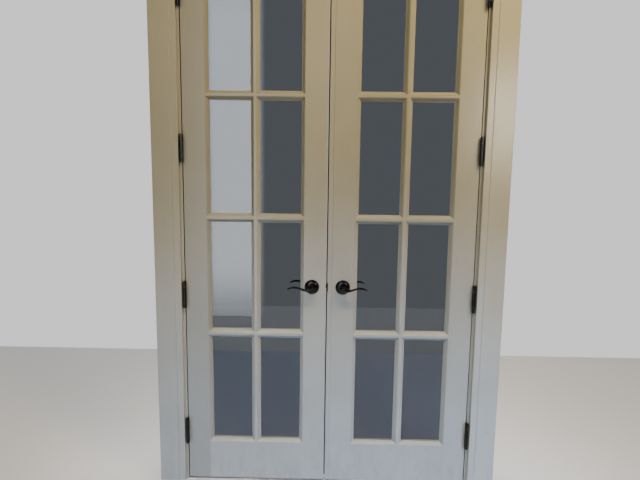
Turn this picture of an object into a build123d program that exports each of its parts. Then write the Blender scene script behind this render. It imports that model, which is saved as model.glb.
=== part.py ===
from build123d import *
import math
import os

os.makedirs("parts", exist_ok=True)

# A pair of glazed doors hung in their own timber frame, in millimetres.
# X runs to the right, Y to the back and Z up. While the pieces are made, the origin is on the
# floor, midway between the side jambs, in the plane of the leaves' front faces. Each piece is
# then moved back by middle_y when it is saved, so that the finished origin is the bottom centre.

# Leaves
leaf_width = 607.0
leaf_height = 2286.0
leaf_thickness = 44.5
edge_round = 2.0

# Stiles, rails and bars, each measured out to the line where the glass begins
stile_width = 110.0
top_rail_height = 106.0
bottom_rail_height = 187.0
bar_width = 38.8
columns = 2
rows = 4

# Moulding that runs round every pane, and the pane behind it
moulding_width = 14.0
moulding_quirk = 1.6
moulding_fillet = 2.0
moulding_lip = 4.0
moulding_bulge = 1.2
glass_thickness = 6.0
pane_grip = 8.0

# Gaps round the leaves
hinge_gap = 3.0
head_gap = 3.0
floor_gap = 10.0
meeting_gap = 5.5

# Strip and seal on the meeting edge of the right leaf
strip_width = 18.5
seal_depth = 5.4
seal_margin = 0.5
seal_clearance = 0.8

# Frame in the wall
jamb_thickness = 19.0
jamb_depth = 116.0
jamb_housing = 9.5
stop_thickness = 11.0
stop_width = 35.0
stop_round = 3.0
stop_clearance = 1.0

# Casings on both sides of the wall
casing_width = 113.0
casing_thickness = 17.5
casing_band = 27.0
casing_step = 2.2
casing_cove = 3.0
casing_round = 3.0
casing_relief = 2.0
casing_inner_land = 14.0
casing_outer_land = 18.0
reveal = 11.0

# Butt hinges
hinge_height = 114.3
hinge_rows = 4
hinge_first = 228.0
hinge_last = 193.0
plate_thickness = 3.4
plate_reach = 50.8
plate_corner = 6.35
pin_offset = 12.7
pin_radius = 4.0
pin_clearance = 0.05
pin_seat_clearance = 0.02
tip_radius = 6.2
tip_height = 2.2
barrel_radius = 7.9
barrel_clearance = 0.6
knuckles = 5
knuckle_gap = 0.25
bearing_radius = 8.2
bearing_height = 4.0

# Levers and roses
lever_height = 900.0
backset = 60.3
fixed_setback = 48.5
lever_projection = 58.0
rose_radius = 31.5
rose_rim = 3.0
rose_step = 3.0
rose_dome_radius = 17.0
rose_height = 10.0
hub_radius = 13.5
hub_waist_radius = 11.0
hub_collar = 3.0
hub_shoulder = 4.0
hub_clearance = 0.1
blade_standoff = 47.5
spindle_width = 8.0
spindle_clearance = 0.05
spindle_grip = 22.0
rose_bolt_spread = 38.0
rose_bolt_radius = 2.2
rose_bolt_clearance = 0.3
rose_bolt_grip = 5.0

# Blade of a lever: distance out from the hub, rise, half height and half depth
blade_stations = (
    (4.0, -2.0, 9.0, 7.5),
    (17.0, -5.0, 7.2, 7.0),
    (32.0, -4.0, 5.2, 6.4),
    (50.0, 2.0, 4.4, 6.2),
    (70.0, 6.2, 4.6, 6.4),
    (86.0, 4.6, 4.2, 6.0),
    (99.0, -0.6, 2.6, 4.6),
    (103.0, -2.8, 1.0, 2.2),
)

# Latch
face_bore_radius = 27.0
case_radius = 11.0
case_clearance = 0.4
case_tail = 11.0
bolt_width = 12.0
bolt_height = 14.0
bolt_throw = 12.0
bolt_length = 40.0
bolt_clearance = 0.25
bolt_travel = 12.5
cam_clearance = 0.6
face_plate_height = 57.0
face_plate_width = 25.4
face_plate_thickness = 2.5

# Strike plate on the strip
strike_thickness = 1.6
strike_height = 57.0
strike_width = 28.0
strike_margin = 1.0
strike_pocket = 11.0
lip_height = 38.0
lip_radius = 3.0
lip_rise = 1.0

# Flush bolts in the ends of the strip
rod_radius = 4.0
rod_clearance = 0.1
rod_length = 200.0
rod_travel = 16.0
thumb_height = 12.0
thumb_width = 5.0
thumb_drop = 150.0
thumb_setback = 0.6
thumb_clearance = 0.3
socket_clearance = 0.6
socket_plate_length = 60.0
socket_plate_width = 22.0
socket_plate_thickness = 1.6

# Worked out from the sizes above
opening_width = 2 * leaf_width + strip_width + meeting_gap + 2 * hinge_gap
opening_height = floor_gap + leaf_height + head_gap
glass_front = (leaf_thickness - glass_thickness) / 2
glass_back = glass_front + glass_thickness
lite_width = (leaf_width - 2 * stile_width - (columns - 1) * bar_width) / columns
lite_height = (leaf_height - top_rail_height - bottom_rail_height - (rows - 1) * bar_width) / rows
leaf_middle = leaf_thickness / 2
pin_x = -hinge_gap / 2
middle_y = (jamb_depth + casing_thickness - lever_projection) / 2
casing_inner = opening_width / 2 + reveal
casing_outer = casing_inner + casing_width
casing_inner_top = opening_height + reveal
casing_outer_top = casing_inner_top + casing_width
meeting_face = leaf_width + strip_width
hinge_step = (leaf_height - hinge_first - hinge_last) / (hinge_rows - 1)
hinge_centres = [hinge_first + i * hinge_step for i in range(hinge_rows)]
plate_back = plate_reach - pin_offset
lever_z = lever_height - floor_gap


def block(x, y, z):
    """A block between a low and a high value on each axis."""
    size = Box(abs(x[1] - x[0]), abs(y[1] - y[0]), abs(z[1] - z[0]))
    return Pos(sum(x) / 2, sum(y) / 2, sum(z) / 2) * size


def round_bar(centre, radius, low, high, direction):
    """A round bar between two values along X, Y or Z, on an axis through the centre."""
    turns = {"x": Rot(0, 90, 0), "y": Rot(90, 0, 0), "z": Rot(0, 0, 0)}
    middle = (low + high) / 2
    places = {
        "x": (middle, centre[0], centre[1]),
        "y": (centre[0], middle, centre[1]),
        "z": (centre[0], centre[1], middle),
    }
    return Pos(*places[direction]) * turns[direction] * Cylinder(radius, high - low)


def save(node, *solids):
    """Write one node, moved so that the origin is the bottom centre of the whole unit."""
    whole = solids[0] if len(solids) == 1 else Compound(list(solids))
    export_step(Pos(0, -middle_y, 0) * whole, f"parts/{node}.step")


def on_left(shape):
    """Place a shape of a leaf, made with its hinge edge at X = 0, on the left."""
    return Pos(hinge_gap - opening_width / 2, 0, floor_gap) * shape


def on_right(shape):
    """Place the mirror image of a shape of a leaf on the right."""
    return Pos(opening_width / 2 - hinge_gap, 0, floor_gap) * mirror(shape, Plane.YZ)


# Mouldings and the sections of the members

def moulding_edge(x, inward, front, step):
    """The moulded line from the face of a member down to the glass.

    x is the place of the glass line, inward the direction into the wood, front the face's
    depth and step the direction from the face towards the glass.
    """
    face = (x + inward * moulding_width, front)
    quirk = (face[0], front + step * moulding_quirk)
    foot = (x + inward * moulding_fillet, front + step * (glass_front - moulding_lip))
    lip = (x, foot[1])
    seat = (x, front + step * glass_front)
    half_way = ((quirk[0] + foot[0]) / 2, (quirk[1] + foot[1]) / 2)
    run = math.hypot(foot[0] - quirk[0], foot[1] - quirk[1])
    across = (-(foot[1] - quirk[1]) / run * inward * step, (foot[0] - quirk[0]) / run * inward * step)
    crown = (half_way[0] + across[0] * moulding_bulge, half_way[1] + across[1] * moulding_bulge)
    return [Line(face, quirk), ThreePointArc(quirk, crown, foot), Line(foot, lip), Line(lip, seat)]


def outer_edge(x, inward):
    """A plain outer edge with eased corners, from the back face to the front face."""
    near = x + inward * edge_round
    eased = edge_round * (1 - math.sqrt(0.5))
    back = leaf_thickness
    return [
        ThreePointArc((near, back), (x + inward * eased, back - eased), (x, back - edge_round)),
        Line((x, back - edge_round), (x, edge_round)),
        ThreePointArc((x, edge_round), (x + inward * eased, eased), (near, 0)),
    ]


def square_edge(x):
    """A square outer edge, from the back face to the front face."""
    return [Line((x, leaf_thickness), (x, 0))]


def member_section(width, low_edge, moulded_low=False):
    """Section of a stile, rail or bar: X across its width from 0, Y its depth from the face.

    The edge at X = width is moulded. The edge at 0 is moulded too on a bar.
    """
    high = moulding_edge(width, -1, 0, 1)
    lines = high
    rabbet_high = width - moulding_width
    lines += [
        Line((width, glass_front), (rabbet_high, glass_front)),
        Line((rabbet_high, glass_front), (rabbet_high, leaf_thickness)),
    ]
    if moulded_low:
        rabbet_low = moulding_width
        lines += [
            Line((rabbet_high, leaf_thickness), (rabbet_low, leaf_thickness)),
            Line((rabbet_low, leaf_thickness), (rabbet_low, glass_front)),
            Line((rabbet_low, glass_front), (0, glass_front)),
        ]
        lines += moulding_edge(0, 1, 0, 1)
        lines += [Line((moulding_width, 0), (rabbet_high, 0))]
    else:
        start = low_edge[0] @ 0
        end = low_edge[-1] @ 1
        lines += [Line((rabbet_high, leaf_thickness), (start.X, start.Y))]
        lines += low_edge
        lines += [Line((end.X, end.Y), (rabbet_high, 0))]
    return make_face(Curve() + lines)


def upright(section, x, low, high):
    """Extrude a section upwards, with its X = 0 edge at the given place."""
    return Pos(x, 0, low) * extrude(section, high - low)


def level(section, z, low, high):
    """Extrude a section sideways, with its X = 0 edge at the height z and its X pointing up."""
    return Plane(origin=(high, 0, z), x_dir=(0, 0, 1), z_dir=(-1, 0, 0)) * extrude(section, high - low)


# Leaf: stiles, rails and bars, with the moulding of one coped over the other's

stile_section = member_section(stile_width, outer_edge(0, 1))
bottom_section = member_section(bottom_rail_height, square_edge(0))
top_section = member_section(top_rail_height, square_edge(0))
bar_section = member_section(bar_width, None, moulded_low=True)
hinge_stile = upright(stile_section, 0, 0, leaf_height)
lock_stile = Pos(leaf_width, 0, 0) * mirror(hinge_stile, Plane.YZ)
stiles = [hinge_stile, lock_stile]
rail_start = stile_width - moulding_width
rail_end = leaf_width - rail_start
bottom_rail = level(bottom_section, 0, rail_start, rail_end) - stiles
top_rail = Pos(0, 0, leaf_height) * mirror(level(top_section, 0, rail_start, rail_end), Plane.XY) - stiles
bar_low = bottom_rail_height - moulding_width
bar_high = leaf_height - top_rail_height + moulding_width
bar_x = [stile_width + i * (lite_width + bar_width) - bar_width for i in range(1, columns)]
bar_z = [bottom_rail_height + i * (lite_height + bar_width) - bar_width for i in range(1, rows)]
lite_x = [stile_width + i * (lite_width + bar_width) for i in range(columns)]
lite_z = [bottom_rail_height + i * (lite_height + bar_width) for i in range(rows)]
upright_bars = [upright(bar_section, x, bar_low, bar_high) - [bottom_rail, top_rail] for x in bar_x]
first_cross_bar = level(
    bar_section, bar_z[0], lite_x[0] - moulding_width, lite_x[0] + lite_width + moulding_width
)
first_cross_bar -= [hinge_stile, upright_bars[0]]
cross_bars = [Pos(x - lite_x[0], 0, z - bar_z[0]) * first_cross_bar for z in bar_z for x in lite_x]


# Panes, and the beads that hold them in from the back

def bead(length, turn):
    """A glazing bead with mitred ends, centred, lying below its pane or turned to stand beside it."""
    lines = moulding_edge(0, -1, leaf_thickness, -1)
    lines += [
        Line((0, glass_back), (-moulding_width, glass_back)),
        Line((-moulding_width, glass_back), (-moulding_width, leaf_thickness)),
    ]
    section = make_face(Curve() + lines)
    reach = length / 2 + moulding_width
    strip = level(section, 0, -reach, reach)
    outline = Polygon(
        (-reach, -moulding_width), (reach, -moulding_width), (length / 2, 0), (-length / 2, 0), align=None
    )
    mitres = Pos(0, leaf_thickness, 0) * Rot(90, 0, 0) * extrude(outline, leaf_thickness)
    return Rot(0, turn, 0) * (strip & mitres)


bead_offsets = (
    (bead(lite_width, 0), 0, -lite_height / 2),
    (bead(lite_width, 180), 0, lite_height / 2),
    (bead(lite_height, 90), -lite_width / 2, 0),
    (bead(lite_height, -90), lite_width / 2, 0),
)
pane = block(
    (-lite_width / 2 - pane_grip, lite_width / 2 + pane_grip),
    (glass_front, glass_back),
    (-lite_height / 2 - pane_grip, lite_height / 2 + pane_grip),
)
lite_centres = [(x + lite_width / 2, z + lite_height / 2) for z in lite_z for x in lite_x]
panes = [Pos(x, 0, z) * pane for x, z in lite_centres]
beads = [Pos(x + dx, 0, z + dz) * shape for x, z in lite_centres for shape, dx, dz in bead_offsets]


# Hinges: each is made round its centre and then set at its height on the leaf's edge

def plate_blank(x):
    """A hinge plate before its knuckles, with the two far corners rounded."""
    half_height = hinge_height / 2
    plate = block((x, x + plate_thickness), (-pin_offset, plate_back), (-half_height, half_height))
    corners = plate.edges().filter_by(Axis.X).group_by(Axis.Y)[-1]
    return fillet(corners, plate_corner)


def knuckle_span(index):
    """Low and high end of one knuckle, with room for the bearings at the two end joints."""
    pitch = hinge_height / knuckles
    low = -hinge_height / 2 + index * pitch
    wide = (bearing_height + knuckle_gap) / 2
    narrow = knuckle_gap / 2
    low_gap = 0 if index == 0 else (wide if index in (1, knuckles - 1) else narrow)
    high_gap = 0 if index == knuckles - 1 else (wide if index in (0, knuckles - 2) else narrow)
    return low + low_gap, low + pitch - high_gap


def pin_bar(radius, low, high):
    """A round bar on the axis of the pin."""
    return round_bar((pin_x, -pin_offset), radius, low, high, "z")


def hinge_plate(x, own, bore):
    """One half of a hinge: its plate, its own knuckles and room for the other half's."""
    spans = [knuckle_span(index) for index in own]
    ends = [-hinge_height, *[end for span in spans for end in span], hinge_height]
    room_radius = barrel_radius + barrel_clearance
    plate = plate_blank(x) - [pin_bar(room_radius, ends[i], ends[i + 1]) for i in range(0, len(ends), 2)]
    plate += [pin_bar(barrel_radius, low, high) for low, high in spans]
    return plate - pin_bar(bore, -hinge_height, hinge_height)


frame_knuckles = [i for i in range(knuckles) if i % 2 == 0]
leaf_knuckles = [i for i in range(knuckles) if i % 2 == 1]
frame_plate = hinge_plate(-hinge_gap - plate_thickness, frame_knuckles, pin_radius + pin_seat_clearance)
leaf_plate = hinge_plate(0, leaf_knuckles, pin_radius + pin_clearance)
pin = pin_bar(pin_radius, -hinge_height / 2, hinge_height / 2)
tip = pin_bar(tip_radius, hinge_height / 2, hinge_height / 2 + tip_height)
pin += [tip, mirror(tip, Plane.XY)]
bearing_z = hinge_height / 2 - hinge_height / knuckles
bearings = [
    Pos(pin_x, -pin_offset, z)
    * (Cylinder(bearing_radius, bearing_height) - Cylinder(pin_radius + pin_clearance, bearing_height))
    for z in (-bearing_z, bearing_z)
]


def at_hinges(shapes):
    """Copies of some shapes at each hinge of a leaf."""
    return [Pos(0, 0, z) * shape for z in hinge_centres for shape in shapes]


hinge_stile -= at_hinges([plate_blank(0)])


# Frame: jambs, stops and casings

def side_jamb():
    """The left jamb, housed for the head, with its hinge plates let in."""
    inner = -opening_width / 2
    jamb = block(
        (inner - jamb_thickness, inner), (0, jamb_depth), (0, opening_height + jamb_thickness)
    )
    jamb -= block(
        (inner - jamb_housing, inner), (0, jamb_depth), (opening_height, opening_height + jamb_thickness)
    )
    mortises = at_hinges([plate_blank(-hinge_gap - plate_thickness)])
    return jamb - [on_left(mortise) for mortise in mortises]


left_jamb = side_jamb()
right_jamb = mirror(left_jamb, Plane.YZ)
head_reach = opening_width / 2 + jamb_housing
head_jamb = block(
    (-head_reach, head_reach), (0, jamb_depth), (opening_height, opening_height + jamb_thickness)
)
stop_front = leaf_thickness + stop_clearance
stop_inner = opening_width / 2 - stop_thickness
stop_top = opening_height - stop_thickness
left_stop = block(
    (-opening_width / 2, -stop_inner), (stop_front, stop_front + stop_width), (0, stop_top)
)
left_stop = fillet(left_stop.edges().filter_by(Axis.Z).group_by(Axis.X)[-1], stop_round)
right_stop = mirror(left_stop, Plane.YZ)
head_stop = block(
    (-opening_width / 2, opening_width / 2),
    (stop_front, stop_front + stop_width),
    (stop_top, opening_height),
)
head_stop = fillet(head_stop.edges().filter_by(Axis.X).group_by(Axis.Z)[0], stop_round)


def casing_section():
    """Section of a casing with a relieved back: X from its inner to its outer edge, Y off the wall."""
    low = casing_thickness - casing_step
    eased = casing_round * (1 - math.sqrt(0.5))
    cove_middle = (casing_band + casing_cove * 0.3, casing_thickness - casing_step * 0.3)
    inner_round = ((0, low - casing_round), (eased, low - eased), (casing_round, low))
    outer_round = (
        (casing_width - casing_round, casing_thickness),
        (casing_width - eased, casing_thickness - eased),
        (casing_width, casing_thickness - casing_round),
    )
    cove = ((casing_band, low), cove_middle, (casing_band + casing_cove, casing_thickness))
    back = (
        (casing_width - casing_outer_land, 0),
        (casing_width - casing_outer_land, casing_relief),
        (casing_inner_land, casing_relief),
        (casing_inner_land, 0),
    )
    return make_face(
        Curve()
        + [
            Line((0, 0), inner_round[0]),
            ThreePointArc(*inner_round),
            Line(inner_round[2], cove[0]),
            ThreePointArc(*cove),
            Line(cove[2], outer_round[0]),
            ThreePointArc(*outer_round),
            Line(outer_round[2], (casing_width, 0)),
            Line((casing_width, 0), back[0]),
            *[Line(*pair) for pair in zip(back, back[1:])],
            Line(back[-1], (0, 0)),
        ]
    )


def wall_prism(*points):
    """A prism through the front casings with the given outline in X and Z."""
    outline = Polygon(*points, align=None)
    return Rot(90, 0, 0) * extrude(outline, casing_thickness)


leg_blank = Plane(origin=(-casing_inner, 0, 0), x_dir=(-1, 0, 0), z_dir=(0, 0, 1)) * extrude(
    casing_section(), casing_outer_top
)
left_casing = leg_blank & wall_prism(
    (-casing_outer, 0),
    (-casing_inner, 0),
    (-casing_inner, casing_inner_top),
    (-casing_outer, casing_outer_top),
)
head_blank = Plane(origin=(-casing_outer, 0, casing_inner_top), x_dir=(0, 0, 1), z_dir=(1, 0, 0)) * extrude(
    casing_section(), 2 * casing_outer
)
head_casing = head_blank & wall_prism(
    (-casing_inner, casing_inner_top),
    (casing_inner, casing_inner_top),
    (casing_outer, casing_outer_top),
    (-casing_outer, casing_outer_top),
)
right_casing = mirror(left_casing, Plane.YZ)
wall_middle = Plane(origin=(0, jamb_depth / 2, 0), x_dir=(1, 0, 0), z_dir=(0, 1, 0))
back_casings = [mirror(piece, wall_middle) for piece in (left_casing, right_casing, head_casing)]


# Roses and levers, made on the front face round X = 0 and Z = 0, pointing along -X

def rose():
    """A round rose with a rim, a dome and a bore for the lever's hub."""
    bore = hub_radius + hub_clearance
    shoulder = rose_radius - rose_step
    profile = make_face(
        Curve()
        + [
            Line((bore, 0), (rose_radius, 0)),
            Line((rose_radius, 0), (rose_radius, rose_rim)),
            Line((rose_radius, rose_rim), (shoulder, rose_rim)),
            ThreePointArc(
                (shoulder, rose_rim),
                ((shoulder + rose_dome_radius) / 2 + 1, rose_rim + (rose_height - rose_rim) * 0.68),
                (rose_dome_radius, rose_height),
            ),
            Line((rose_dome_radius, rose_height), (bore, rose_height)),
            Line((bore, rose_height), (bore, 0)),
        ]
    )
    return revolve_out(profile)


def revolve_out(profile):
    """Turn a profile of radius and height round the lever's axis, with its height towards -Y."""
    flat = Plane(origin=(0, 0, 0), x_dir=(1, 0, 0), z_dir=(0, 0, -1)) * profile
    return revolve(flat, Axis((0, 0, 0), (0, 1, 0)))


def hub_profile():
    """Half profile of a lever's hub: a collar in the rose, a waist and a domed end."""
    neck = rose_height + hub_collar
    shoulder = blade_standoff - hub_shoulder
    waist = (hub_waist_radius, (neck + shoulder) / 2)
    crown = lever_projection
    return make_face(
        Curve()
        + [
            Line((0, 1.0), (hub_radius, 1.0)),
            Line((hub_radius, 1.0), (hub_radius, neck)),
            ThreePointArc((hub_radius, neck), waist, (hub_radius, shoulder)),
            ThreePointArc((hub_radius, shoulder), (hub_radius * 0.72, crown - 3.0), (0, crown)),
            Line((0, crown), (0, 1.0)),
        ]
    )


def blade():
    """The waved blade, lofted through ellipses that stand square to its line."""
    line = Spline(*[(-out, -blade_standoff, rise) for out, rise, _, _ in blade_stations])
    sections = []
    for out, rise, half_height, half_depth in blade_stations:
        point = Vector(-out, -blade_standoff, rise)
        along = line.tangent_at(line.param_at_point(point))
        place = Plane(origin=point, x_dir=(0, 1, 0), z_dir=along)
        section = place * Ellipse(half_depth, half_height)
        sections.append(section.face())
    return loft(sections)


lever = revolve_out(hub_profile()) + blade()
socket_half = spindle_width / 2 + spindle_clearance
socket = block((-socket_half, socket_half), (-rose_height - spindle_grip, 0), (-socket_half, socket_half))
turning_lever = lever - socket
leaf_mirror = Plane(origin=(0, leaf_middle, 0), x_dir=(1, 0, 0), z_dir=(0, 1, 0))
spindle_end = rose_height + spindle_grip - 0.5
spindle = block(
    (-spindle_width / 2, spindle_width / 2),
    (-spindle_end, leaf_thickness + spindle_end),
    (-spindle_width / 2, spindle_width / 2),
)
bolt_z = (-rose_bolt_spread / 2, rose_bolt_spread / 2)
bolt_ends = (-rose_bolt_grip, leaf_thickness + rose_bolt_grip)
rose_bolts = [round_bar((0, z), rose_bolt_radius, *bolt_ends, "y") for z in bolt_z]
front_rose = rose() - rose_bolts
back_rose = mirror(front_rose, leaf_mirror)


# Latch in the left leaf, made in the leaf's own place

lever_x = leaf_width - backset
case_end = leaf_width - face_plate_thickness
channel_depth = bolt_length + bolt_travel + bolt_clearance
half_bolt = (bolt_width / 2, bolt_height / 2)
channel = block(
    (leaf_width - channel_depth, leaf_width + bolt_throw),
    (leaf_middle - half_bolt[0] - bolt_clearance, leaf_middle + half_bolt[0] + bolt_clearance),
    (lever_z - half_bolt[1] - bolt_clearance, lever_z + half_bolt[1] + bolt_clearance),
)
cam_radius = spindle_width * math.sqrt(0.5) + cam_clearance
latch_case = round_bar((leaf_middle, lever_z), case_radius, lever_x - case_tail, case_end, "x")
face_plate = block(
    (case_end, leaf_width),
    (leaf_middle - face_plate_width / 2, leaf_middle + face_plate_width / 2),
    (lever_z - face_plate_height / 2, lever_z + face_plate_height / 2),
)
latch_case += face_plate
latch_case -= [channel, round_bar((lever_x, lever_z), cam_radius, 0, leaf_thickness, "y")]
latch_bolt = block(
    (leaf_width - bolt_length, leaf_width + bolt_throw),
    (leaf_middle - half_bolt[0], leaf_middle + half_bolt[0]),
    (lever_z - half_bolt[1], lever_z + half_bolt[1]),
)
nose = latch_bolt.edges().filter_by(Axis.Z).group_by(Axis.X)[-1].sort_by(Axis.Y)[-1]
latch_bolt = chamfer(nose, bolt_throw - 2.0, bolt_width - 2.0)
edge_bore = round_bar((leaf_middle, lever_z), case_radius + case_clearance, lever_x, leaf_width, "x")
face_bore = round_bar((lever_x, lever_z), face_bore_radius, 0, leaf_thickness, "y")
left_lock_stile = lock_stile - [edge_bore, face_bore, face_plate]


# Meeting strip of the right leaf, with its strike plate, seal and flush bolts

strip = block((leaf_width, meeting_face), (0, leaf_thickness), (0, leaf_height))
strip_corners = strip.edges().filter_by(Axis.Z).group_by(Axis.X)[-1]
strip = fillet(strip_corners, edge_round)
strike_front = leaf_middle - strike_width / 2
strike_body = block(
    (meeting_face - strike_thickness, meeting_face),
    (strike_front, leaf_middle + strike_width / 2),
    (lever_z - strike_height / 2, lever_z + strike_height / 2),
)
lip_root = (meeting_face, strike_front)
lip_turn = lip_radius * math.sqrt(0.5)
lip_inner = lip_radius - strike_thickness
lip_centre = (meeting_face - lip_radius, lip_rise)
lip_section = make_face(
    Curve()
    + [
        Line((meeting_face, strike_front), (meeting_face, lip_rise)),
        ThreePointArc(
            (meeting_face, lip_rise),
            (lip_centre[0] + lip_turn, lip_rise - lip_turn),
            (lip_centre[0], lip_rise - lip_radius),
        ),
        Line((lip_centre[0], lip_rise - lip_radius), (lip_centre[0], lip_rise - lip_inner)),
        ThreePointArc(
            (lip_centre[0], lip_rise - lip_inner),
            (lip_centre[0] + lip_inner * math.sqrt(0.5), lip_rise - lip_inner * math.sqrt(0.5)),
            (meeting_face - strike_thickness, lip_rise),
        ),
        Line((meeting_face - strike_thickness, lip_rise), (meeting_face - strike_thickness, strike_front)),
        Line((meeting_face - strike_thickness, strike_front), (meeting_face, strike_front)),
    ]
)
lip = Pos(0, 0, lever_z - lip_height / 2) * extrude(lip_section, lip_height)
strike_blank = strike_body + lip
pocket = block(
    (meeting_face - strike_pocket, meeting_face),
    (leaf_middle - half_bolt[0] - strike_margin, leaf_middle + half_bolt[0] + strike_margin),
    (lever_z - half_bolt[1] - strike_margin, lever_z + half_bolt[1] + strike_margin),
)
strike_plate = strike_blank - pocket
rod_x = leaf_width + strip_width / 2
bore_length = rod_length + rod_clearance
thumb_slot_end = thumb_height / 2 + thumb_clearance


def flush_bolt():
    """The upper flush bolt: a rod with a thumb stud that reaches the meeting face."""
    rod = round_bar((rod_x, leaf_middle), rod_radius, leaf_height - rod_length, leaf_height, "z")
    thumb = block(
        (rod_x, meeting_face - thumb_setback),
        (leaf_middle - thumb_width / 2, leaf_middle + thumb_width / 2),
        (leaf_height - thumb_drop - thumb_height / 2, leaf_height - thumb_drop + thumb_height / 2),
    )
    return rod + thumb


def flush_bolt_room():
    """The bore and the thumb slot of the upper flush bolt, as long as its travel needs."""
    bore = round_bar(
        (rod_x, leaf_middle), rod_radius + rod_clearance, leaf_height - bore_length, leaf_height, "z"
    )
    half_slot = thumb_width / 2 + thumb_clearance
    slot = block(
        (rod_x, meeting_face),
        (leaf_middle - half_slot, leaf_middle + half_slot),
        (leaf_height - thumb_drop - thumb_slot_end, leaf_height - thumb_drop + thumb_slot_end + rod_travel),
    )
    return bore + slot


strip_middle = Plane(origin=(0, 0, leaf_height / 2), x_dir=(1, 0, 0), z_dir=(0, 0, 1))
top_bolt = flush_bolt()
bottom_bolt = mirror(top_bolt, strip_middle)
bolt_room = flush_bolt_room()
strip -= [strike_blank, pocket, bolt_room, mirror(bolt_room, strip_middle)]
seal_reach = meeting_gap - seal_clearance
seal_front = leaf_middle + strike_width / 2 + seal_margin
seal_tip = (meeting_face + seal_reach, seal_front + seal_depth / 2)
seal_foot = ((meeting_face, seal_front + seal_depth), (meeting_face, seal_front))
seal_section = make_face(Curve() + [Line(*seal_foot), ThreePointArc(seal_foot[1], seal_tip, seal_foot[0])])
meeting_seal = extrude(seal_section, leaf_height)

# Socket plate in the head for the upper flush bolt
socket_x = opening_width / 2 - hinge_gap - rod_x
socket_hole = round_bar(
    (socket_x, leaf_middle),
    rod_radius + socket_clearance,
    opening_height,
    opening_height + jamb_thickness,
    "z",
)
socket_plate = block(
    (socket_x - socket_plate_length / 2, socket_x + socket_plate_length / 2),
    (leaf_middle - socket_plate_width / 2, leaf_middle + socket_plate_width / 2),
    (opening_height, opening_height + socket_plate_thickness),
)
head_jamb -= [socket_plate, socket_hole]
socket_plate -= socket_hole

# Save the frame
save("left_jamb", left_jamb)
save("right_jamb", right_jamb)
save("head_jamb", head_jamb)
save("left_stop", left_stop)
save("right_stop", right_stop)
save("head_stop", head_stop)
save("front_left_casing", left_casing)
save("front_right_casing", right_casing)
save("front_head_casing", head_casing)
save("back_left_casing", back_casings[0])
save("back_right_casing", back_casings[1])
save("back_head_casing", back_casings[2])
save("head_bolt_socket", socket_plate)

# Save what the two leaves share
for side, place, stile in (("left", on_left, left_lock_stile), ("right", on_right, lock_stile)):
    save(f"{side}_frame_hinge_plates", *[place(s) for s in at_hinges([frame_plate])])
    save(f"{side}_hinge_pins", *[place(s) for s in at_hinges([pin])])
    save(f"{side}_hinge_bearings", *[place(s) for s in at_hinges(bearings)])
    save(f"{side}_leaf_hinge_plates", *[place(s) for s in at_hinges([leaf_plate])])
    save(f"{side}_hinge_stile", place(hinge_stile))
    save(f"{side}_lock_stile", place(stile))
    save(f"{side}_top_rail", place(top_rail))
    save(f"{side}_bottom_rail", place(bottom_rail))
    save(f"{side}_upright_bar", *[place(s) for s in upright_bars])
    save(f"{side}_cross_bars", *[place(s) for s in cross_bars])
    save(f"{side}_panes", *[place(s) for s in panes])
    save(f"{side}_glazing_beads", *[place(s) for s in beads])

# Save the levers and the latch of the left leaf
left_lever_place = Pos(lever_x, 0, lever_z)
save("left_front_rose", on_left(left_lever_place * front_rose))
save("left_back_rose", on_left(left_lever_place * back_rose))
save("left_front_lever", on_left(left_lever_place * turning_lever))
save("left_back_lever", on_left(left_lever_place * mirror(turning_lever, leaf_mirror)))
save("lever_spindle", on_left(left_lever_place * spindle))
save("left_rose_bolts", *[on_left(left_lever_place * bolt) for bolt in rose_bolts])
save("latch_case", on_left(latch_case))
save("latch_bolt", on_left(latch_bolt))

# Save the fixed levers, the strip and the flush bolts of the right leaf
right_lever_place = Pos(leaf_width - fixed_setback, 0, lever_z)
save("right_front_rose", on_right(right_lever_place * front_rose))
save("right_back_rose", on_right(right_lever_place * back_rose))
save("right_front_lever", on_right(right_lever_place * lever))
save("right_back_lever", on_right(right_lever_place * mirror(lever, leaf_mirror)))
save("meeting_strip", on_right(strip))
save("meeting_seal", on_right(meeting_seal))
save("strike_plate", on_right(strike_plate))
save("top_flush_bolt", on_right(top_bolt))
save("bottom_flush_bolt", on_right(bottom_bolt))
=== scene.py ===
"""The looks of a pair of glazed doors in their frame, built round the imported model.

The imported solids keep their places. This file dresses each of them with a finish, replaces the
lever handles and roses by finer turned and bent pieces, adds the screws of the hinges and
plates, and sets the floor, the lights and the camera. Lengths of the object are in millimetres,
and those of the stage and of the finishes' patterns in metres.
"""

from __future__ import annotations

import logging
import math
from dataclasses import dataclass, field
from enum import Enum
from typing import Iterable, Optional, Union

import bmesh
import bpy
from mathutils import Matrix, Vector

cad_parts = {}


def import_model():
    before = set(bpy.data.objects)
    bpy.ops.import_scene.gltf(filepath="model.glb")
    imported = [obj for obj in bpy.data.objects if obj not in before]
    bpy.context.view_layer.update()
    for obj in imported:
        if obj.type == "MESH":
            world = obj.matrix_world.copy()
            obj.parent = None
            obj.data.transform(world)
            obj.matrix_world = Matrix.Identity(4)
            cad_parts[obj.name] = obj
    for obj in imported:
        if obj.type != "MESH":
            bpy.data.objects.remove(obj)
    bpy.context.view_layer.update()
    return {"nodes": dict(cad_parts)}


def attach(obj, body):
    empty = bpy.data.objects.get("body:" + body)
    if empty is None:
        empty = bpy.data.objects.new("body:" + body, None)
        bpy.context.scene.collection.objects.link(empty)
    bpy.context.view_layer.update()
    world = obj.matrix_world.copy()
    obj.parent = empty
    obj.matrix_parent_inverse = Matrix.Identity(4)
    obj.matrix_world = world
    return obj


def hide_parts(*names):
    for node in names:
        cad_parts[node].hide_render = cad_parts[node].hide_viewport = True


log = logging.getLogger("french_doors")

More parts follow.
